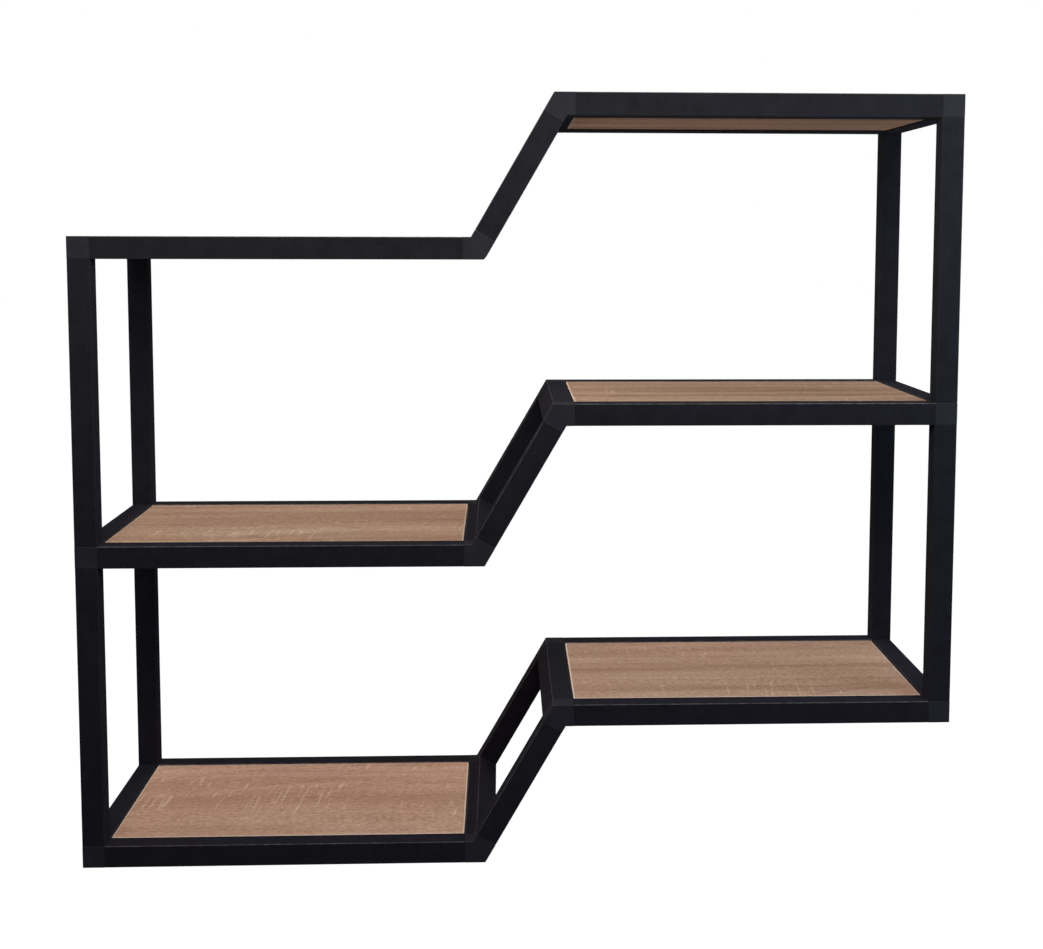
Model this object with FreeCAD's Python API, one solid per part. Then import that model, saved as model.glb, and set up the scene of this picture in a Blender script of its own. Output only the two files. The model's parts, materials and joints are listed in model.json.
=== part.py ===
"""Wall-hung zigzag bookshelf: two shelf sections at different heights, joined by slanting braces.

Black square tubes plug onto moulded connectors. At every level an elbow turns the left
section's rail up into a brace, and a second elbow turns the brace into the right section's
rail. The cross piece between a front and a rear elbow is an extrusion with the elbow's own
six-sided outline. The rails carry a thin ledge along their inner foot, and the wood boards lie
on it, let into the frame.

Millimetres. +X runs to the right, +Y towards the wall and +Z up. The origin lies on the wall
plane, at the middle of the middle brace.
"""
import FreeCAD, Part
import math
import os

# Square tube
TUBE = 20.0                # outside width
TUBE_WALL = 1.5            # also the wall of the six-sided extrusion
TUBE_CORNER = 1.0          # outside corner radius

# Cut lengths
RAIL_LENGTH = 325.0        # along a shelf, at the front and at the rear
UPRIGHT_LENGTH = 255.0     # between two levels, at a section's outer end
CROSS_LENGTH = 190.0       # from a front connector to the rear one
BRACE_LENGTH = 120.0       # slanting, from the left section up to the right one

# Connectors
BRACE_ANGLE = 60.0         # slope of the braces, in degrees
ELBOW_LAND = 7.5           # inside corner of an elbow to the end of its arm
CONNECTOR_EDGE = 0.5       # chamfer on a connector's outer edges
SPIGOT_LENGTH = 22.0       # plug that goes into a tube
SPIGOT_CLEARANCE = 0.1     # between a plug and the tube, on each side
SPIGOT_LEAD = 1.5          # taper at a plug's free end

# Boards, and the ledge along the rails that carries them
LEDGE_WIDTH = 15.0         # out from a rail's inner face
LEDGE_THICKNESS = 1.5
BOARD_THICKNESS = 18.0
BOARD_GAP = 0.75           # to the frame, all round
BOARD_ARRIS = 0.8          # chamfer on a board's edges

# Keyholes for wall screws, in the rear wall of the top rear rails
KEYHOLE_ENTRY = 9.0        # diameter that passes a screw head
KEYHOLE_SLOT = 4.8         # width for the screw's neck
KEYHOLE_RISE = 7.0         # from the entry's centre up to the seat
KEYHOLE_INSET = 60.0       # from the end of a rail to its keyhole

# Derived sizes
HALF_TUBE = TUBE / 2
HALF_TURN = math.radians(BRACE_ANGLE / 2)
SLOPE = math.radians(BRACE_ANGLE)
ELBOW_REACH = ELBOW_LAND + HALF_TUBE * math.tan(HALF_TURN)   # elbow axis to the end of an arm
BRACE_AXIS = BRACE_LENGTH + 2 * ELBOW_REACH                  # between two elbow axes
RUN = BRACE_AXIS * math.cos(SLOPE)
RISE = BRACE_AXIS * math.sin(SLOPE)
LEVEL_PITCH = UPRIGHT_LENGTH + TUBE
DEPTH = CROSS_LENGTH + 2 * TUBE
SECTION_AXIS = HALF_TUBE + RAIL_LENGTH + ELBOW_REACH         # end block's centre to elbow axis

X_AXIS = FreeCAD.Vector(1, 0, 0)
Y_AXIS = FreeCAD.Vector(0, 1, 0)
Z_AXIS = FreeCAD.Vector(0, 0, 1)
BRACE_AXIS_UP = X_AXIS * math.cos(SLOPE) + Z_AXIS * math.sin(SLOPE)

SECTIONS = ("left", "right")
LEVELS = ("bottom", "middle", "top")
STOREYS = ("lower", "upper")
SIDES = ("front", "rear")

INWARD = {"left": 1, "right": -1}          # X direction from a section's end to its elbow
SIDE_Y = {"front": HALF_TUBE - DEPTH, "rear": -HALF_TUBE}
TO_OTHER_SIDE = {"front": Y_AXIS, "rear": -Y_AXIS}


def elbow_axis(section, level, side):
    """Point where the rail's and the brace's centre lines meet."""
    storey = LEVELS.index(level) - 1
    way = -INWARD[section]
    return FreeCAD.Vector(way * RUN / 2, SIDE_Y[side], way * RISE / 2 + storey * LEVEL_PITCH)


def end_centre(section, level, side):
    """Centre of the end block, one section's length out from the elbow."""
    return elbow_axis(section, level, side) - X_AXIS * INWARD[section] * SECTION_AXIS


def square_outline(centre, direction, side_axis):
    """Corners of the tube's square, centred on a point and square to a direction."""
    u = side_axis * HALF_TUBE
    v = direction.cross(side_axis) * HALF_TUBE
    return [centre + u + v, centre - u + v, centre - u - v, centre + u - v]


def elbow_bend(section):
    """From an elbow's axis to the outside corner of its outline; the inside corner lies opposite."""
    along = X_AXIS * INWARD[section]
    up = Z_AXIS * INWARD[section]
    return along * HALF_TUBE * math.tan(HALF_TURN) - up * HALF_TUBE


def elbow_outline(centre, section):
    """Corners of the bent outline, from the rail's arm round the outside corner and back."""
    along = X_AXIS * INWARD[section]
    up = Z_AXIS * INWARD[section]
    brace = BRACE_AXIS_UP * INWARD[section]
    brace_side = brace.cross(Y_AXIS) * -HALF_TUBE
    bend = elbow_bend(section)
    rail_end = centre - along * ELBOW_REACH
    brace_end = centre + brace * ELBOW_REACH
    return [rail_end - up * HALF_TUBE, centre + bend, brace_end + brace_side,
            brace_end - brace_side, centre - bend, rail_end + up * HALF_TUBE]


def closed_wire(points):
    return Part.makePolygon(points + points[:1])


def inset_wire(points, distance):
    """The outline moved inwards, with sharp corners."""
    return closed_wire(points).makeOffset2D(-distance, 2)


def hollow_extrusion(points, travel):
    """Thin-walled tube with the given outline, its outward corners rounded."""
    skin = inset_wire(points, TUBE_CORNER).makeOffset2D(TUBE_CORNER, 0)
    bore = inset_wire(points, TUBE_WALL)
    return Part.Face(skin).extrude(travel).cut(Part.Face(bore).extrude(travel))


def square_tube(start, end, side_axis):
    travel = end - start
    direction = FreeCAD.Vector(travel).normalize()
    return hollow_extrusion(square_outline(start, direction, side_axis), travel)


def spigot(points, direction):
    """Plug for a tube of the given outline: a straight body with a tapered end."""
    fit = TUBE_WALL + SPIGOT_CLEARANCE
    body = inset_wire(points, fit)
    shoulder = body.translated(direction * (SPIGOT_LENGTH - SPIGOT_LEAD))
    tip = inset_wire(points, fit + SPIGOT_LEAD).translated(direction * SPIGOT_LENGTH)
    straight = Part.Face(body).extrude(direction * (SPIGOT_LENGTH - SPIGOT_LEAD))
    return straight.fuse(Part.makeLoft([shoulder, tip], True, True))


def connector(core, outer_edges, plugs):
    """Core with chamfered edges and its plugs, as one moulded piece."""
    return core.makeChamfer(CONNECTOR_EDGE, outer_edges).fuse(plugs).removeSplitter()


def end_block(section, level, side):
    """Cube at a section's outer end, with plugs for its rail, cross tube and uprights."""
    centre = end_centre(section, level, side)
    corner = centre - (X_AXIS + Y_AXIS + Z_AXIS) * HALF_TUBE
    ways = [(X_AXIS * INWARD[section], Y_AXIS), (TO_OTHER_SIDE[side], X_AXIS)]
    if level != LEVELS[-1]:
        ways.append((Z_AXIS, Y_AXIS))
    if level != LEVELS[0]:
        ways.append((-Z_AXIS, Y_AXIS))
    plugs = [spigot(square_outline(centre + way * HALF_TUBE, way, across), way) for way, across in ways]
    core = Part.makeBox(TUBE, TUBE, TUBE, corner)
    return connector(core, core.Edges, plugs)


def elbow(section, level, side):
    """Bent block with plugs for its rail, its brace and the six-sided cross piece."""
    axis = elbow_axis(section, level, side)
    rail_way = -X_AXIS * INWARD[section]
    brace_way = BRACE_AXIS_UP * INWARD[section]
    cross_way = TO_OTHER_SIDE[side]
    outline = elbow_outline(axis - cross_way * HALF_TUBE, section)
    mouth = elbow_outline(axis + cross_way * HALF_TUBE, section)
    plugs = [spigot(square_outline(axis + way * ELBOW_REACH, way, Y_AXIS), way)
             for way in (rail_way, brace_way)]
    plugs.append(spigot(mouth, cross_way))
    core = Part.Face(closed_wire(outline)).extrude(cross_way * TUBE)
    inside = axis - elbow_bend(section)
    outer_edges = [edge for edge in core.Edges if not edge.CenterOfMass.isEqual(inside, CONNECTOR_EDGE)]
    return connector(core, outer_edges, plugs)


def rail(section, level, side):
    """Square tube with a ledge along its foot, on the side of the board."""
    start = end_centre(section, level, side) + X_AXIS * INWARD[section] * HALF_TUBE
    travel = X_AXIS * INWARD[section] * RAIL_LENGTH
    inner = TO_OTHER_SIDE[side]
    root = start + inner * (HALF_TUBE - TUBE_WALL) - Z_AXIS * HALF_TUBE
    tip = root + inner * (TUBE_WALL + LEDGE_WIDTH)
    lift = Z_AXIS * LEDGE_THICKNESS
    ledge = Part.Face(closed_wire([root, tip, tip + lift, root + lift])).extrude(travel)
    return square_tube(start, start + travel, Y_AXIS).fuse(ledge).removeSplitter()


def keyhole(mouth):
    """Cutter for one keyhole: round entry below, narrow slot above, through the rear wall."""
    depth = -Y_AXIS * HALF_TUBE
    entry_low = KEYHOLE_ENTRY / 2
    height = entry_low + KEYHOLE_RISE + KEYHOLE_SLOT / 2
    entry = mouth + Z_AXIS * (entry_low - height / 2)
    seat = entry + Z_AXIS * KEYHOLE_RISE
    half_slot = X_AXIS * KEYHOLE_SLOT / 2
    slot = closed_wire([entry - half_slot, entry + half_slot, seat + half_slot, seat - half_slot])
    hole = Part.makeCylinder(KEYHOLE_ENTRY / 2, HALF_TUBE, entry, -Y_AXIS)
    rest = Part.makeCylinder(KEYHOLE_SLOT / 2, HALF_TUBE, seat, -Y_AXIS)
    return hole.fuse([Part.Face(slot).extrude(depth), rest])


def keyholed(tube, section):
    """The top rear rail with a keyhole near each end."""
    start = end_centre(section, LEVELS[-1], "rear") + X_AXIS * INWARD[section] * HALF_TUBE
    for distance in (KEYHOLE_INSET, RAIL_LENGTH - KEYHOLE_INSET):
        mouth = start + X_AXIS * INWARD[section] * distance + Y_AXIS * HALF_TUBE
        tube = tube.cut(keyhole(mouth))
    return tube


def brace(level, side):
    start = elbow_axis("left", level, side) + BRACE_AXIS_UP * ELBOW_REACH
    return square_tube(start, start + BRACE_AXIS_UP * BRACE_LENGTH, Y_AXIS)


def upright(section, storey, side):
    below = LEVELS[STOREYS.index(storey)]
    start = end_centre(section, below, side) + Z_AXIS * HALF_TUBE
    return square_tube(start, start + Z_AXIS * UPRIGHT_LENGTH, Y_AXIS)


def end_cross(section, level):
    start = end_centre(section, level, "front") + Y_AXIS * HALF_TUBE
    return square_tube(start, start + Y_AXIS * CROSS_LENGTH, X_AXIS)


def elbow_cross(section, level):
    start = elbow_axis(section, level, "front") + Y_AXIS * HALF_TUBE
    return hollow_extrusion(elbow_outline(start, section), Y_AXIS * CROSS_LENGTH)


def board(section, level):
    """Board on the ledges of two rails, between two cross pieces."""
    length = RAIL_LENGTH - 2 * BOARD_GAP
    width = CROSS_LENGTH - 2 * BOARD_GAP
    rail_end = end_centre(section, level, "front") + X_AXIS * INWARD[section] * HALF_TUBE
    middle = rail_end + X_AXIS * INWARD[section] * RAIL_LENGTH / 2 + Y_AXIS * (HALF_TUBE + CROSS_LENGTH / 2)
    foot = middle + Z_AXIS * (LEDGE_THICKNESS - HALF_TUBE)
    slab = Part.makeBox(length, width, BOARD_THICKNESS, foot - X_AXIS * length / 2 - Y_AXIS * width / 2)
    return slab.makeChamfer(BOARD_ARRIS, slab.Edges)


def build_nodes():
    """Every node of the shelf by name, each a list of solids."""
    nodes = {}
    for section in SECTIONS:
        for level in LEVELS:
            for side in SIDES:
                tube = rail(section, level, side)
                if level == LEVELS[-1] and side == "rear":
                    tube = keyholed(tube, section)
                nodes[f"rail_{section}_{level}_{side}"] = [tube]
            nodes[f"end_blocks_{section}_{level}"] = [end_block(section, level, side) for side in SIDES]
            nodes[f"elbows_{section}_{level}"] = [elbow(section, level, side) for side in SIDES]
            nodes[f"end_cross_{section}_{level}"] = [end_cross(section, level)]
            nodes[f"elbow_cross_{section}_{level}"] = [elbow_cross(section, level)]
            nodes[f"board_{section}_{level}"] = [board(section, level)]
        for storey in STOREYS:
            for side in SIDES:
                nodes[f"upright_{section}_{storey}_{side}"] = [upright(section, storey, side)]
    for level in LEVELS:
        for side in SIDES:
            nodes[f"brace_{level}_{side}"] = [brace(level, side)]
    return nodes


os.makedirs("parts", exist_ok=True)
for name, solids in build_nodes().items():
    shape = solids[0] if len(solids) == 1 else Part.makeCompound(solids)
    shape.exportStep(f"parts/{name}.step")
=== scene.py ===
"""Looks of the zigzag bookshelf: powder-coated tube, moulded connectors and oak boards in a white studio.

Metres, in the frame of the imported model: +X to the right, +Y towards the wall and +Z up.
"""
import bpy
import json
import math
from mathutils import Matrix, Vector


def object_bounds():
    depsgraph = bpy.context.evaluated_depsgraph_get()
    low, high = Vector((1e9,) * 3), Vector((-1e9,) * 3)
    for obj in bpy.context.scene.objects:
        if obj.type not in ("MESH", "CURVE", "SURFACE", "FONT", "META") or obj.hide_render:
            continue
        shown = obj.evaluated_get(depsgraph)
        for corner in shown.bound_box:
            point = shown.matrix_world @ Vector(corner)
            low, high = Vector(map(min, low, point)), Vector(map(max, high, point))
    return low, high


# Camera, at the photograph's viewing angle
CAMERA_PLACE = (-0.0150, -1.5497, 0.2215)
CAMERA_TURN = (84.899, -0.130, -2.223)     # degrees about X, Y and Z
CAMERA_LENS = 51.457                       # millimetres
CAMERA_SENSOR = 36.0                       # millimetres, across the picture
CAMERA_SHIFT = (-0.037, -0.100)            # shares of the picture's width

# Studio
WHITE = (1.0, 1.0, 1.0, 1.0)
AMBIENT = 0.02                             # strength of the world as a light
SEEN_WORLD = 1.0                           # strength of the world where it is seen
FLOOR_DROP = 0.85                          # below the object's lowest point
FLOOR_SIZE = 60.0
FLOOR_COLOUR = (0.56, 0.56, 0.56)
FLOOR_GLOW_REACH = (0.6, 2.5)              # distances from the middle of the floor
FLOOR_GLOW = (0.75, 1.0)                   # how white the floor is seen at those distances
WIDE_BOX = (1.7, 0.7)
STRIP_BOX = (1.7, 0.25)
BACK_BOX = (0.6, 0.7)
SMALL_BOX = (0.4, 0.6)
LAMPS = (
    # name, size, place, point it is aimed at, watts, colour
    ("strip", STRIP_BOX, (0.0, -0.50, 0.36), (0.0, -0.23, 0.36), 3.2, (0.86, 1.00, 0.82)),
    ("front", WIDE_BOX, (0.0, -1.30, 0.90), (0.0, -0.15, 0.10), 10.4, (1.00, 0.83, 0.84)),
    ("right_fill", SMALL_BOX, (0.85, -0.75, 0.22), (0.40, -0.23, 0.15), 4.2, (0.47, 0.73, 1.00)),
    ("left_fill", SMALL_BOX, (-0.85, -0.10, -0.06), (-0.40, -0.11, -0.06), 1.6, (1.00, 0.96, 0.94)),
    ("back", BACK_BOX, (-0.20, 1.40, 0.30), (0.0, -0.10, -0.10), 44.0, (1.00, 0.95, 0.96)),
    ("overhead", WIDE_BOX, (0.0, -0.10, 1.50), (0.0, -0.10, 0.0), 12.0, (1.00, 0.93, 0.87)),
)

# Edges: how squarely a surface faces its flat way, on the plain face and on the full edge
TURNED_SQUARE = (0.985, 0.85)              # for edges that are rounded or chamfered in the mesh
RIM_SQUARE = (0.995, 0.90)                 # for the band beside a sharp edge
RIM_SAMPLES = 8
BRACE_SLOPE = math.radians(60)
LEVEL_WAYS = ((1, 0, 0), (0, 1, 0), (0, 0, 1))
BRACE_WAYS = (
    (math.cos(BRACE_SLOPE), 0, math.sin(BRACE_SLOPE)),
    (-math.sin(BRACE_SLOPE), 0, math.cos(BRACE_SLOPE)),
)

# Black finishes: dark and light tone of the grain, tone of the painted edge highlight (patchy, with a
# little wear), size of the grain
COAT = ((0.0134, 0.0124, 0.0165), (0.0201, 0.0188, 0.0249), (0.1500, 0.1430, 0.1450), 0.0007)
PLASTIC = ((0.0217, 0.0206, 0.0264), (0.0303, 0.0288, 0.0369), (0.0650, 0.0630, 0.0640), 0.0004)
BLACK_GRAIN_DETAIL = 3.0
MOTTLE = (0.014, 4.0, 0.6)                 # size, detail and roughness of the noise
BLACK_SPREAD = (0.7, 1.3)                  # grain plus mottle where the dark and the light tone are reached
BLACK_ROUGHNESS = (0.62, 0.78)
BLACK_DIFFUSE = 0.8                        # roughness of the matte part
BLACK_SHEEN = 0.005
SHEEN_ROUGHNESS = 0.45
SHEEN_TINT = (1.0, 0.94, 0.88, 1.0)
BLACK_BUMP = (0.35, 0.00006)               # strength and depth
HIGHLIGHT_WEAR_NOISE = (0.006, 3.0)                         # size and detail of the noise that breaks up the painted edge highlight like wear
HIGHLIGHT_WEAR_SPAN = (0.35, 0.65)                   # noise where the painted edge highlight and wear are faintest and strongest
HIGHLIGHT_WEAR_SHARE = (0.45, 1.0)                    # how strong the painted highlight and wear are there
HIGHLIGHT_RISE = (0.0, 0.6)                      # how far an upright edge and a top edge face up
HIGHLIGHT_RISE_SHARE = (0.08, 1.0)               # how strong the painted highlight is on those two: stronger on top edges, where the light falls

# Oak decor, with the grain along X. Noises are given as pace along the grain (1 is the same as across it),
# size across it and detail
OAK_TONES = (
    (0.00, (0.212, 0.115, 0.072)),
    (0.40, (0.332, 0.207, 0.143)),
    (0.60, (0.401, 0.260, 0.184)),
    (1.00, (0.569, 0.413, 0.309)),
)
OAK_MIDDLE = 0.50                          # place among those tones before any pattern is added
# painted highlight: pale band along the boards' edges, where they catch the light
OAK_RIM_HIGHLIGHT = (0.800, 0.630, 0.505)
OAK_RIM_HIGHLIGHT_WIDTH = 0.0022
OAK_SHINE_TONES = (0.3, 0.7)
OAK_ROUGHNESS = (0.60, 0.48)               # at those two tones
OAK_BUMP = (0.20, 0.00008)                 # strength and depth
OAK_LAYERS = (
    # noise, depth of tone
    ((0.07, 0.040, 2.0), 0.45),            # broad bands
    ((0.04, 0.009, 2.0), 0.12),            # rings
    ((0.03, 0.0018, 2.0), 0.08),           # fibres
    ((0.55, 0.0021, 3.0), 0.38),           # speckle
)
LAYER_SPREAD = (0.30, 0.70)                # noise where a layer's darkest and lightest tone are reached
GRAIN_WAVES = (0.25, 0.09, 2.0)
GRAIN_PUSH = (-0.09, -0.03)                # how far the waves move the grain across
GROWTH_FIELD = (0.16, 0.07, 1.0)
GROWTH_COUNT = 16.0                        # growth lines over the whole range of that noise
GROWTH_TURN = 0.5                          # the ripple goes from 0 to this and back for each line
GROWTH_WIDTH = (0.02, 0.10)                # ripple at a line's core and beyond its soft edge
GROWTH_PATCHES = (0.35, 0.06, 2.0)
GROWTH_PATCH_EDGE = (0.50, 0.62)
GROWTH_DEPTH = 0.16
PORES = (0.18, 0.0014, 1.0)
PORE_EDGE = (0.62, 0.74)
PORE_DEPTH = 0.16
MARK_LEAN = 0.07                           # sideways for each length towards the wall
MARK_PACE = 0.065                          # pace along a stroke, which runs across the grain
MARK_WIDTH = 0.0032
MARK_DETAIL = 1.0
MARK_EDGE = (0.57, 0.72)
MARK_ROWS = (0.28, 0.050, 1.0)
MARK_ROW_EDGE = (0.54, 0.61)
MARK_DEPTH = 0.30

ZERO_TO_ONE = (0.0, 1.0)

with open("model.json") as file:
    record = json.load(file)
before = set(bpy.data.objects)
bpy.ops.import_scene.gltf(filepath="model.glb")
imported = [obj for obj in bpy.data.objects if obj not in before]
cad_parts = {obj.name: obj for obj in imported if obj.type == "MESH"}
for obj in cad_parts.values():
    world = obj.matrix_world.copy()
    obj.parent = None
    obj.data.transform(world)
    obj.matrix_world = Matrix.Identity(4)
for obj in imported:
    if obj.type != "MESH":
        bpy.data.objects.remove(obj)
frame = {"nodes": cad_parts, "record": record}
cad_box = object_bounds()


class Finish:
    """A material and its node tree, with short calls that add nodes and join them."""

    def __init__(self, name):
        self.material = bpy.data.materials.new(name)
        self.material.use_nodes = True
        self.tree = self.material.node_tree
        self.surface = self.tree.nodes["Principled BSDF"]
        spot = self.node("ShaderNodeTexCoord")
        self.place = spot.outputs["Object"]
        self.normal = spot.outputs["Normal"]

    def node(self, kind, inputs=None, **settings):
        node = self.tree.nodes.new(kind)
        for name, value in settings.items():
            setattr(node, name, value)
        for name, value in (inputs or {}).items():
            self.feed(node.inputs[name], value)
        return node

    def feed(self, socket, value):
        if isinstance(value, bpy.types.NodeSocket):
            self.tree.links.new(value, socket)
        else:
            socket.default_value = value

    def vector(self, operation, first, second):
        return self.node("ShaderNodeVectorMath", {0: first, 1: second}, operation=operation)

    def math(self, operation, first, second=0.0):
        return self.node("ShaderNodeMath", {0: first, 1: second}, operation=operation).outputs[0]

    def stretched(self, factors, place=None):
        return self.vector("MULTIPLY", place or self.place, factors).outputs["Vector"]

    def noise(self, place, size, detail=2.0, roughness=0.5):
        """Soft noise from 0 to 1, whose lumps are about the given size in metres."""
        inputs = {"Vector": place, "Scale": 1 / size, "Detail": detail, "Roughness": roughness}
        return self.node("ShaderNodeTexNoise", inputs).outputs["Fac"]

    def grain_noise(self, pace, size, detail, place=None):
        """Soft noise that is drawn out along X where the pace is under 1."""
        return self.noise(self.stretched((pace, 1, 1), place), size, detail)

    def remap(self, value, span, target=ZERO_TO_ONE, smooth=False):
        """The value, brought from the span to the target and held at the target's ends."""
        inputs = {"Value": value, "From Min": span[0], "From Max": span[1]}
        inputs.update({"To Min": target[0], "To Max": target[1]})
        kind = "SMOOTHSTEP" if smooth else "LINEAR"
        return self.node("ShaderNodeMapRange", inputs, interpolation_type=kind).outputs["Result"]

    def blend(self, factor, first, second):
        """Colour that goes from the first to the second as the factor goes from 0 to 1."""
        node = self.node("ShaderNodeMix", data_type="RGBA")
        self.feed(node.inputs["Factor"], factor)
        colours = [socket for socket in node.inputs if socket.type == "RGBA"]
        for socket, value in zip(colours, (first, second)):
            self.feed(socket, value if isinstance(value, bpy.types.NodeSocket) else (*value, 1.0))
        return [socket for socket in node.outputs if socket.type == "RGBA"][0]

    def turned(self, ways):
        """1 where the surface faces none of the given ways, as on a rounded or chamfered edge."""
        nearest = 0.0
        for way in ways:
            share = self.vector("DOT_PRODUCT", self.normal, way).outputs["Value"]
            nearest = self.math("MAXIMUM", self.math("ABSOLUTE", share), nearest)
        return self.remap(nearest, TURNED_SQUARE)

    def upward(self):
        """1 on surfaces that face up, 0 on upright ones and -1 on undersides."""
        return self.vector("DOT_PRODUCT", self.normal, (0, 0, 1)).outputs["Value"]

    def rim(self, width):
        """1 beside the sharp edges of a piece, 0 on its faces."""
        bevel = self.node("ShaderNodeBevel", {"Radius": width}, samples=RIM_SAMPLES).outputs["Normal"]
        true = self.node("ShaderNodeNewGeometry").outputs["Normal"]
        return self.remap(self.vector("DOT_PRODUCT", bevel, true).outputs["Value"], RIM_SQUARE)

    def finish(self, colour, roughness, height, bump, sheen=0.0, matte=0.0):
        """Joins the nodes to the shader, which has no mirror-like part, and gives the material."""
        strength, depth = bump
        raised = self.node("ShaderNodeBump", {"Height": height, "Strength": strength, "Distance": depth})
        inputs = self.surface.inputs
        self.feed(inputs["Base Color"], colour)
        self.feed(inputs["Roughness"], roughness)
        self.feed(inputs["Normal"], raised.outputs["Normal"])
        inputs["Specular IOR Level"].default_value = 0.0
        inputs["Diffuse Roughness"].default_value = matte
        inputs["Sheen Weight"].default_value = sheen
        inputs["Sheen Roughness"].default_value = SHEEN_ROUGHNESS
        inputs["Sheen Tint"].default_value = SHEEN_TINT
        return self.material


def black_finish(name, dark, light, edge, grain_size):
    """Matte black with a fine grain, faint mottling, and a painted highlight along edges that face up,
    broken up in patches like wear.
    """
    finish = Finish(name)
    grain = finish.noise(finish.place, grain_size, BLACK_GRAIN_DETAIL)
    mixed = finish.math("ADD", grain, finish.noise(finish.place, *MOTTLE))
    body = finish.blend(finish.remap(mixed, BLACK_SPREAD), dark, light)
    # painted highlight: edges are made paler where they face up towards the lamps, in patches, with a
    # little wear
    highlight_and_wear = finish.remap(finish.noise(finish.place, *HIGHLIGHT_WEAR_NOISE), HIGHLIGHT_WEAR_SPAN, HIGHLIGHT_WEAR_SHARE)
    highlight_and_wear = finish.math("MULTIPLY", highlight_and_wear, finish.remap(finish.upward(), HIGHLIGHT_RISE, HIGHLIGHT_RISE_SHARE))
    edges = finish.turned(LEVEL_WAYS + BRACE_WAYS)
    colour = finish.blend(finish.math("MULTIPLY", edges, highlight_and_wear), body, edge)
    roughness = finish.remap(mixed, BLACK_SPREAD, BLACK_ROUGHNESS)
    return finish.finish(colour, roughness, grain, BLACK_BUMP, BLACK_SHEEN, BLACK_DIFFUSE)


def wavy_grain(finish):
    """Places, pushed across the grain by more or less so that it runs in slow waves."""
    push = finish.remap(finish.grain_noise(*GRAIN_WAVES), ZERO_TO_ONE, GRAIN_PUSH)
    drift = finish.node("ShaderNodeCombineXYZ", {"Y": push}).outputs[0]
    return finish.vector("ADD", finish.place, drift).outputs["Vector"]


def growth_lines(finish, grain):
    """A few thin lines that run along the grain and slant across it, in patches."""
    field = finish.grain_noise(*GROWTH_FIELD, grain)
    ripple = finish.math("PINGPONG", finish.math("MULTIPLY", field, GROWTH_COUNT), GROWTH_TURN)
    lines = finish.remap(ripple, GROWTH_WIDTH, (1.0, 0.0), smooth=True)
    patches = finish.remap(finish.grain_noise(*GROWTH_PATCHES), GROWTH_PATCH_EDGE)
    return finish.math("MULTIPLY", lines, patches)


def saw_marks(finish):
    """Pale strokes across the grain of the upper face, side by side in loose rows."""
    lean = finish.vector("DOT_PRODUCT", finish.place, (1.0, -MARK_LEAN, 0.0)).outputs["Value"]
    parts = finish.node("ShaderNodeSeparateXYZ", {0: finish.place}).outputs
    leaning = finish.node("ShaderNodeCombineXYZ", {"X": lean, "Y": parts["Y"], "Z": parts["Z"]}).outputs[0]
    strokes = finish.noise(finish.stretched((1, MARK_PACE, 1), leaning), MARK_WIDTH, MARK_DETAIL)
    rows = finish.remap(finish.grain_noise(*MARK_ROWS), MARK_ROW_EDGE, smooth=True)
    shown = finish.math("MULTIPLY", rows, finish.remap(finish.upward(), ZERO_TO_ONE))
    return finish.math("MULTIPLY", finish.remap(strokes, MARK_EDGE), shown)


def tone_ramp(finish, tone, tones):
    """Colour that the tone has among the given ones."""
    ramp = finish.node("ShaderNodeValToRGB", {"Fac": tone})
    stops = ramp.color_ramp.elements
    while len(stops) < len(tones):
        stops.new(0.5)
    for stop, (position, colour) in zip(stops, tones):
        stop.position = position
        stop.color = (*colour, 1.0)
    return ramp.outputs["Color"]


def oak():
    """Oak decor: bands, rings, fibres and speckle along the grain, dark pores and pale saw marks, with a
    painted highlight along the board's edges.
    """
    finish = Finish("oak_decor")
    grain = wavy_grain(finish)
    lines = finish.math("MULTIPLY", growth_lines(finish, grain), GROWTH_DEPTH)
    tone = finish.math("SUBTRACT", OAK_MIDDLE, lines)
    for noise, depth in OAK_LAYERS:
        layer = finish.remap(finish.grain_noise(*noise, grain), LAYER_SPREAD, (-depth / 2, depth / 2))
        tone = finish.math("ADD", tone, layer)
    pores = finish.remap(finish.grain_noise(*PORES), PORE_EDGE)
    tone = finish.math("SUBTRACT", tone, finish.math("MULTIPLY", pores, PORE_DEPTH))
    tone = finish.math("ADD", tone, finish.math("MULTIPLY", saw_marks(finish), MARK_DEPTH))

    # painted highlight: a pale band beside the board's sharp edges and on its chamfers
    edge = finish.math("MAXIMUM", finish.rim(OAK_RIM_HIGHLIGHT_WIDTH), finish.turned(LEVEL_WAYS))
    colour = finish.blend(edge, tone_ramp(finish, tone, OAK_TONES), OAK_RIM_HIGHLIGHT)
    roughness = finish.remap(tone, OAK_SHINE_TONES, OAK_ROUGHNESS)
    return finish.finish(colour, roughness, finish.math("SUBTRACT", tone, pores), OAK_BUMP)


def paint_nodes():
    """Gives every CAD node the finish of its material slot."""
    finishes = {
        "tube": black_finish("black_powder_coat", *COAT),
        "connector": black_finish("black_moulded", *PLASTIC),
        "board": oak(),
    }
    for part in frame["record"]["subparts"]:
        node = frame["nodes"][part["node"]]
        node.data.materials.clear()
        node.data.materials.append(finishes[part["material_slot"]])


def seen_ray(tree):
    """1 for rays that show the background: straight from the camera, mirrored or let through."""
    path = tree.nodes.new("ShaderNodeLightPath")
    seen = path.outputs["Is Camera Ray"]
    for name in ("Is Glossy Ray", "Is Transmission Ray"):
        larger = tree.nodes.new("ShaderNodeMath")
        larger.operation = "MAXIMUM"
        tree.links.new(seen, larger.inputs[0])
        tree.links.new(path.outputs[name], larger.inputs[1])
        seen = larger.outputs[0]
    return seen


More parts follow.
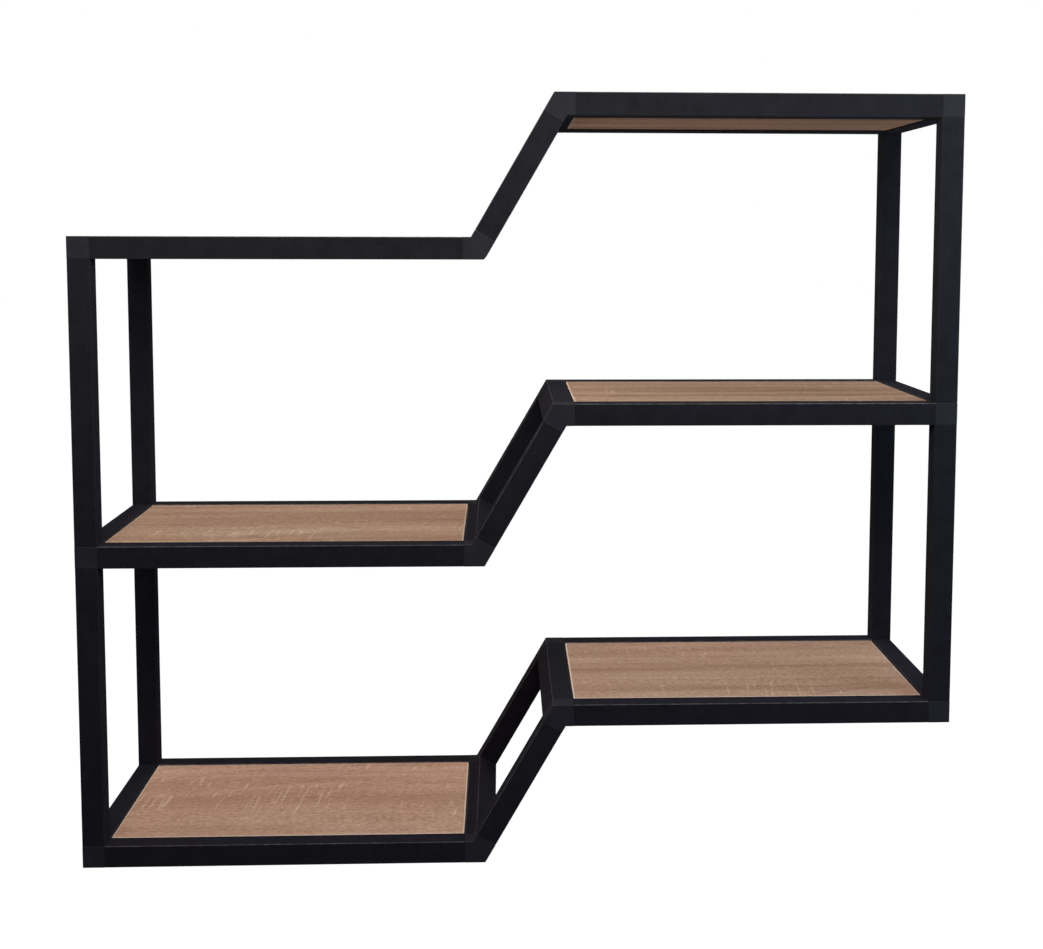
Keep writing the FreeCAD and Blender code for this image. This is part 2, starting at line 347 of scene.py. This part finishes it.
def white_world():
    """White where it is seen, and a faint fill for what it lights."""
    world = bpy.data.worlds.new("studio")
    world.use_nodes = True
    tree = world.node_tree
    tree.nodes.clear()
    mix = tree.nodes.new("ShaderNodeMixShader")
    tree.links.new(seen_ray(tree), mix.inputs["Fac"])
    for socket, strength in ((mix.inputs[1], AMBIENT), (mix.inputs[2], SEEN_WORLD)):
        light = tree.nodes.new("ShaderNodeBackground")
        light.inputs["Color"].default_value = WHITE
        light.inputs["Strength"].default_value = strength
        tree.links.new(light.outputs[0], socket)
    output = tree.nodes.new("ShaderNodeOutputWorld")
    tree.links.new(mix.outputs[0], output.inputs["Surface"])
    bpy.context.scene.world = world


def pale_floor():
    """Floor below the hanging shelf: it takes the shadow, and is seen white away from it."""
    bpy.ops.mesh.primitive_plane_add(size=FLOOR_SIZE, location=(0, 0, cad_box[0].z - FLOOR_DROP))
    floor = bpy.context.object
    floor.name = "floor"
    finish = Finish("pale_floor")
    flat = finish.stretched((1, 1, 0))
    distance = finish.node("ShaderNodeVectorMath", {0: flat}, operation="LENGTH").outputs["Value"]
    glow = finish.remap(distance, FLOOR_GLOW_REACH, FLOOR_GLOW, smooth=True)
    strength = finish.math("MULTIPLY", glow, seen_ray(finish.tree))
    white = finish.node("ShaderNodeEmission", {"Color": WHITE, "Strength": strength})
    diffuse = finish.node("ShaderNodeBsdfDiffuse", {"Color": (*FLOOR_COLOUR, 1.0)})
    both = finish.node("ShaderNodeAddShader", {0: white.outputs[0], 1: diffuse.outputs[0]})
    finish.feed(finish.tree.nodes["Material Output"].inputs["Surface"], both.outputs[0])
    finish.tree.nodes.remove(finish.surface)
    floor.data.materials.append(finish.material)


def studio_light():
    """Soft boxes, which light the object and aren't seen themselves."""
    for name, size, place, target, watts, colour in LAMPS:
        lamp = bpy.data.lights.new(name, "AREA")
        lamp.shape = "RECTANGLE"
        lamp.size, lamp.size_y = size
        lamp.energy = watts
        lamp.color = colour
        holder = bpy.data.objects.new(name, lamp)
        holder.location = place
        holder.rotation_euler = (Vector(target) - Vector(place)).to_track_quat("-Z", "Y").to_euler()
        holder.visible_camera = False
        bpy.context.scene.collection.objects.link(holder)


def photo_camera():
    """The scene's camera."""
    data = bpy.data.cameras.new("camera")
    data.sensor_fit = "HORIZONTAL"
    data.sensor_width = CAMERA_SENSOR
    data.lens = CAMERA_LENS
    data.shift_x, data.shift_y = CAMERA_SHIFT
    camera = bpy.data.objects.new("camera", data)
    camera.location = CAMERA_PLACE
    camera.rotation_euler = [math.radians(angle) for angle in CAMERA_TURN]
    bpy.context.scene.collection.objects.link(camera)
    bpy.context.scene.camera = camera


paint_nodes()
white_world()
pale_floor()
studio_light()
photo_camera()
bpy.context.scene.view_settings.view_transform = "Standard"
